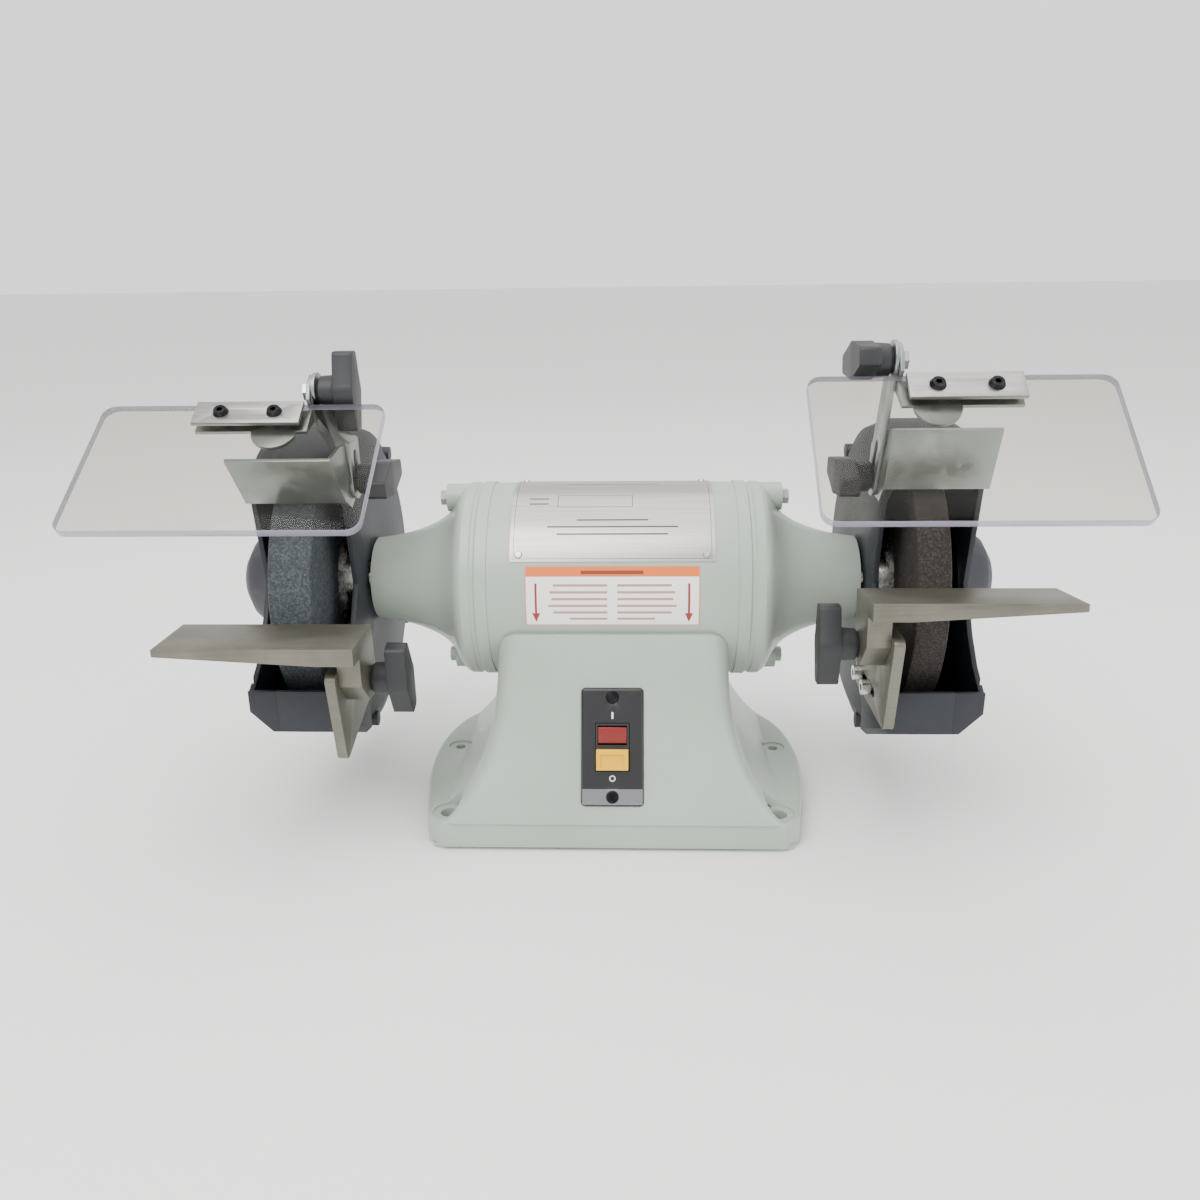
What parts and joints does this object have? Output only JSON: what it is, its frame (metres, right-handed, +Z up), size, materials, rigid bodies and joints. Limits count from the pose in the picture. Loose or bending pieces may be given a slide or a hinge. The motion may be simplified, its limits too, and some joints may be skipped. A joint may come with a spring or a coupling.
{
  "type": "bench grinder",
  "caption": "Two-wheel bench grinder for sharpening blades, with clear eye shields, angled tool rests, a cast pedestal base and a keyed safety switch.",
  "frame": {"origin": "on the bench plane, midway between the two side bolt holes and directly under the spindle", "axes": "+X to the right along the spindle, +Y to the back, +Z up"},
  "size_m": [0.566, 0.2581, 0.3008],
  "materials": {
    "body_paint": "smooth light grey-green enamel",
    "guard_paint": "satin navy-black powder coat",
    "rest_steel": "warm grey blasted steel",
    "galvanised": "zinc-plated sheet",
    "clamp_strip": "brushed steel strip",
    "clear_sheet": "clear polycarbonate",
    "black_plastic": "moulded black nylon",
    "nameplate_metal": "satin aluminium sheet",
    "label_film": "printed vinyl film",
    "switch_black": "glossy black plate",
    "rocker_red": "red moulded plastic",
    "key_yellow": "yellow moulded plastic",
    "black_screw": "black oxide steel",
    "zinc_steel": "bright zinc steel",
    "lamination": "laminated motor steel",
    "winding": "varnished copper wire",
    "coarse_grit": "coarse grey vitrified abrasive",
    "fine_grit": "fine dark brown vitrified abrasive"
  },
  "bodies": {
    "frame": {"base": "body_paint", "base_cover": "galvanised", "base_cover_screws": "zinc_steel", "motor_housing": "body_paint", "left_end_bell": "body_paint", "right_end_bell": "body_paint", "end_bell_bolts": "zinc_steel", "nameplate": "nameplate_metal", "nameplate_rivets": "nameplate_metal", "rotation_label": "label_film", "switch_plate": "switch_black", "switch_body": "black_plastic", "switch_screws": "black_screw", "cord_gland": "black_plastic", "stator_core": "lamination", "stator_windings": "winding", "bearing_outer_rings": "zinc_steel", "left_guard": "guard_paint", "right_guard": "guard_paint", "left_guard_cover": "guard_paint", "right_guard_cover": "guard_paint", "guard_screws": "zinc_steel", "bracket_screws": "zinc_steel", "arm_studs": "zinc_steel"},
    "rotor": {"shaft": "zinc_steel", "rotor_core": "lamination", "bearing_inner_rings": "zinc_steel", "left_wheel": "coarse_grit", "right_wheel": "fine_grit", "wheel_flanges": "zinc_steel", "spindle_nuts": "zinc_steel"},
    "rocker": {"switch_rocker": "rocker_red"},
    "key": {"safety_key": "key_yellow"},
    "right_bracket": {"right_rest_bracket": "rest_steel", "right_rest_bolt": "zinc_steel"},
    "right_rest": {"right_tool_rest": "rest_steel"},
    "right_rest_clamp": {"right_rest_knob": "black_plastic"},
    "right_arrestor": {"right_spark_arrestor": "galvanised"},
    "right_arm": {"right_shield_arm": "galvanised"},
    "right_arm_clamp": {"right_arm_knob": "black_plastic"},
    "right_eye_shield": {"right_shield": "clear_sheet", "right_shield_bracket": "galvanised", "right_shield_clamp": "clamp_strip", "right_clamp_screws": "black_screw", "right_shield_bolt": "zinc_steel"},
    "right_shield_clamp_knob": {"right_shield_knob": "black_plastic"},
    "left_bracket": {"left_rest_bracket": "rest_steel", "left_rest_bolt": "zinc_steel"},
    "left_rest": {"left_tool_rest": "rest_steel"},
    "left_rest_clamp": {"left_rest_knob": "black_plastic"},
    "left_arrestor": {"left_spark_arrestor": "galvanised"},
    "left_arm": {"left_shield_arm": "galvanised"},
    "left_arm_clamp": {"left_arm_knob": "black_plastic"},
    "left_eye_shield": {"left_shield": "clear_sheet", "left_shield_bracket": "galvanised", "left_shield_clamp": "clamp_strip", "left_clamp_screws": "black_screw", "left_shield_bolt": "zinc_steel"},
    "left_shield_clamp_knob": {"left_shield_knob": "black_plastic"}
  },
  "joints": [
    {"name": "rotor_spin", "type": "hinge", "parent": "frame", "child": "rotor", "pos_m": [0, 0, 0.1445], "axis": [1, 0, 0], "continuous": true},
    {"name": "rocker_tilt", "type": "hinge", "parent": "frame", "child": "rocker", "pos_m": [0, -0.08519, 0.06962], "axis": [1, 0, 0], "range_deg": [-11, 0]},
    {"name": "key_pull", "type": "slide", "parent": "frame", "child": "key", "axis": [0, -0.9336, 0.3584], "range_m": [0, 0.018]},
    {"name": "right_bracket_slide", "type": "slide", "parent": "frame", "child": "right_bracket", "axis": [0, 1, 0], "range_m": [-0.008, 0.003]},
    {"name": "right_rest_tilt", "type": "hinge", "parent": "right_bracket", "child": "right_rest", "pos_m": [0.145, -0.103, 0.1355], "axis": [1, 0, 0], "range_deg": [-2, 24]},
    {"name": "right_rest_knob_turn", "type": "hinge", "parent": "right_bracket", "child": "right_rest_clamp", "pos_m": [0.13, -0.103, 0.1355], "axis": [1, 0, 0], "continuous": true},
    {"name": "right_arrestor_slide", "type": "slide", "parent": "frame", "child": "right_arrestor", "axis": [0, 0.9401, 0.341], "range_m": [-0.005, 0.002]},
    {"name": "right_arm_swing", "type": "hinge", "parent": "frame", "child": "right_arm", "pos_m": [0.155, -0.045, 0.2205], "axis": [1, 0, 0], "range_deg": [-12, 8]},
    {"name": "right_arm_knob_turn", "type": "hinge", "parent": "frame", "child": "right_arm_clamp", "pos_m": [0.145, -0.045, 0.2205], "axis": [1, 0, 0], "continuous": true},
    {"name": "right_shield_tilt", "type": "hinge", "parent": "right_arm", "child": "right_eye_shield", "pos_m": [0.157, -0.0723, 0.2899], "axis": [1, 0, 0], "range_deg": [-20, 10]},
    {"name": "right_shield_knob_turn", "type": "hinge", "parent": "right_eye_shield", "child": "right_shield_clamp_knob", "pos_m": [0.145, -0.0723, 0.2899], "axis": [1, 0, 0], "range_deg": [-80, 0]},
    {"name": "left_bracket_slide", "type": "slide", "parent": "frame", "child": "left_bracket", "axis": [0, 1, 0], "range_m": [-0.008, 0.003]},
    {"name": "left_rest_tilt", "type": "hinge", "parent": "left_bracket", "child": "left_rest", "pos_m": [-0.145, -0.101, 0.1135], "axis": [1, 0, 0], "range_deg": [-4, 18]},
    {"name": "left_rest_knob_turn", "type": "hinge", "parent": "left_bracket", "child": "left_rest_clamp", "pos_m": [-0.13, -0.101, 0.1135], "axis": [1, 0, 0], "continuous": true},
    {"name": "left_arrestor_slide", "type": "slide", "parent": "frame", "child": "left_arrestor", "axis": [0, 0.7667, 0.642], "range_m": [-0.004, 0.001]},
    {"name": "left_arm_swing", "type": "hinge", "parent": "frame", "child": "left_arm", "pos_m": [-0.155, -0.045, 0.2205], "axis": [1, 0, 0], "range_deg": [-10, 1]},
    {"name": "left_arm_knob_turn", "type": "hinge", "parent": "frame", "child": "left_arm_clamp", "pos_m": [-0.145, -0.045, 0.2205], "axis": [1, 0, 0], "continuous": true},
    {"name": "left_shield_tilt", "type": "hinge", "parent": "left_arm", "child": "left_eye_shield", "pos_m": [-0.174, -0.0487, 0.2731], "axis": [1, 0, 0], "range_deg": [-20, 0]},
    {"name": "left_shield_knob_turn", "type": "hinge", "parent": "left_eye_shield", "child": "left_shield_clamp_knob", "pos_m": [-0.162, -0.0487, 0.2731], "axis": [1, 0, 0], "range_deg": [-4, 70]}
  ]
}
